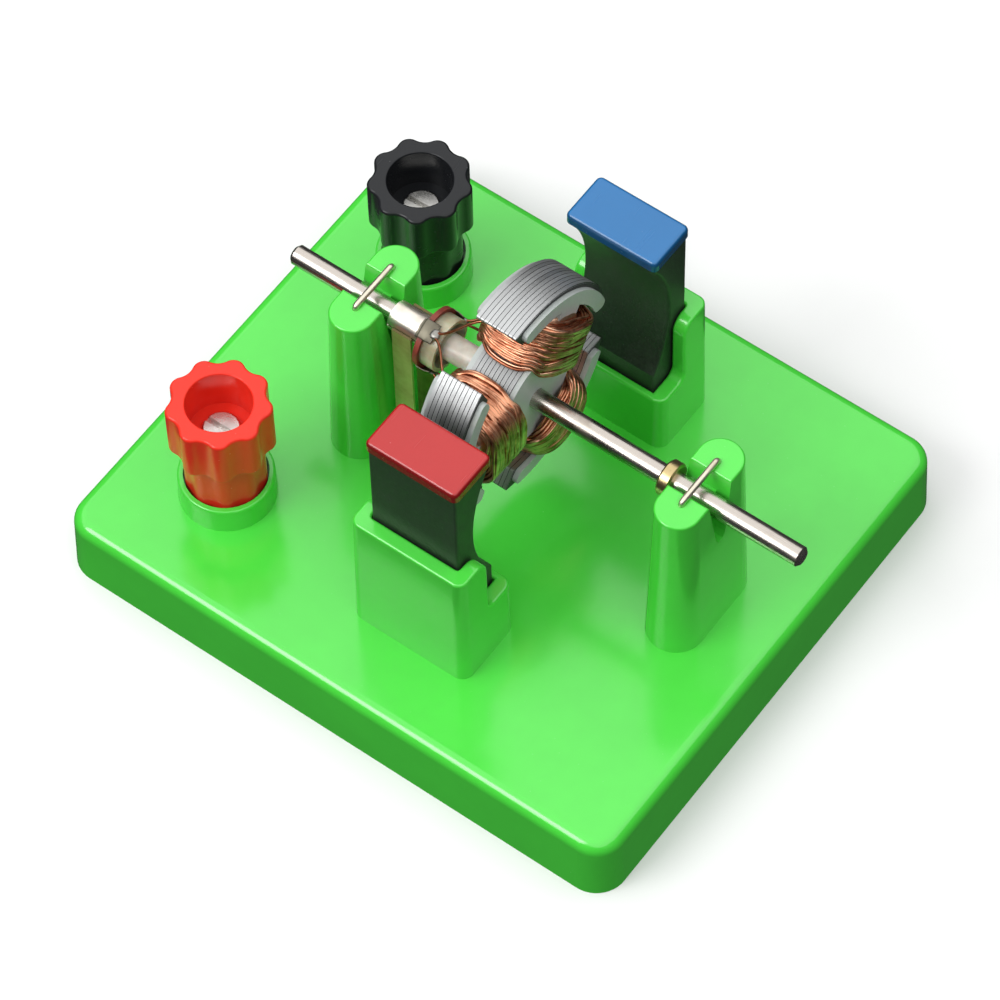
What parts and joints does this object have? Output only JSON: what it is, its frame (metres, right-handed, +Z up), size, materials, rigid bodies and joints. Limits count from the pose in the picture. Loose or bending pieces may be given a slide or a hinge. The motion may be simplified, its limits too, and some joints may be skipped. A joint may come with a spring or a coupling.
{
  "type": "demonstration electric motor",
  "caption": "Classroom motor: wound rotor with commutator turning on a shaft between two block magnets on a moulded base, with strip brushes and screw terminals.",
  "frame": {"origin": "under the middle of the whole motor, shaft overhang included, at the base's underside", "axes": "+X along the shaft towards its long free end, +Y from the red magnet to the blue one, +Z up"},
  "size_m": [0.1032, 0.087, 0.0597],
  "materials": {
    "green_plastic": "glossy moulding",
    "red_plastic": "glossy moulding",
    "black_plastic": "glossy moulding",
    "red_cap_plastic": "satin cap",
    "blue_cap_plastic": "satin cap",
    "ferrite": "dull ground ferrite",
    "shaft_steel": "ground and polished",
    "lamination_steel": "punched edges",
    "insulation_grey": "matt pressboard",
    "copper_wire": "enamelled copper",
    "copper_segment": "bare copper",
    "fibre_red": "vulcanised fibre",
    "khaki_plastic": "translucent moulding",
    "beige_plastic": "matt sleeve",
    "brass": "turned brass",
    "steel_wire": "bright wire",
    "plated_steel": "plated",
    "bronze_strip": "springy bronze"
  },
  "bodies": {
    "base": {"base_plate": "green_plastic", "left_bearing_post": "green_plastic", "right_bearing_post": "green_plastic", "red_magnet_holder": "green_plastic", "blue_magnet_holder": "green_plastic", "shaft_staples": "steel_wire", "terminal_nuts": "plated_steel", "red_terminal_stud": "plated_steel", "black_terminal_stud": "plated_steel", "red_brush": "bronze_strip", "black_brush": "bronze_strip"},
    "rotor": {"shaft": "shaft_steel", "core_laminations": "lamination_steel", "left_end_plate": "insulation_grey", "right_end_plate": "insulation_grey", "commutator_segments": "copper_segment", "commutator_sleeve": "black_plastic", "commutator_disc": "fibre_red", "commutator_collar": "khaki_plastic", "spacer_sleeve": "beige_plastic", "thrust_collar": "brass", "coil_1_inner_turns": "copper_wire", "coil_1_outer_turns": "copper_wire", "coil_2_inner_turns": "copper_wire", "coil_2_outer_turns": "copper_wire", "coil_3_inner_turns": "copper_wire", "coil_3_outer_turns": "copper_wire"},
    "red_magnet_body": {"red_magnet": "ferrite", "red_magnet_cap": "red_cap_plastic"},
    "blue_magnet_body": {"blue_magnet": "ferrite", "blue_magnet_cap": "blue_cap_plastic"},
    "red_clamp": {"red_clamp_washer": "plated_steel"},
    "black_clamp": {"black_clamp_washer": "plated_steel"},
    "red_knob": {"red_terminal_knob": "red_plastic"},
    "black_knob": {"black_terminal_knob": "black_plastic"}
  },
  "joints": [
    {"name": "rotor_spin", "type": "hinge", "parent": "base", "child": "rotor", "pos_m": [-0.00165, 0, 0.0412], "axis": [1, 0, 0], "continuous": true},
    {"name": "red_magnet_lift", "type": "slide", "parent": "base", "child": "red_magnet_body", "axis": [0, 0, 1], "range_m": [0, 0.024]},
    {"name": "blue_magnet_lift", "type": "slide", "parent": "base", "child": "blue_magnet_body", "axis": [0, 0, 1], "range_m": [0, 0.024]},
    {"name": "red_clamp_rise", "type": "slide", "parent": "base", "child": "red_clamp", "axis": [0, 0, 1], "range_m": [0, 0.003]},
    {"name": "red_knob_turn", "type": "hinge", "parent": "red_clamp", "child": "red_knob", "pos_m": [-0.03415, -0.0245, 0.02], "axis": [0, 0, 1], "range_deg": [0, 1350]},
    {"name": "black_clamp_rise", "type": "slide", "parent": "base", "child": "black_clamp", "axis": [0, 0, 1], "range_m": [0, 0.003]},
    {"name": "black_knob_turn", "type": "hinge", "parent": "black_clamp", "child": "black_knob", "pos_m": [-0.03415, 0.0245, 0.02], "axis": [0, 0, 1], "range_deg": [0, 1350]}
  ],
  "couplings": [
    {"joint": "red_clamp_rise", "follows": "red_knob_turn", "m_per_rad": 0.00012732},
    {"joint": "black_clamp_rise", "follows": "black_knob_turn", "m_per_rad": 0.00012732}
  ]
}
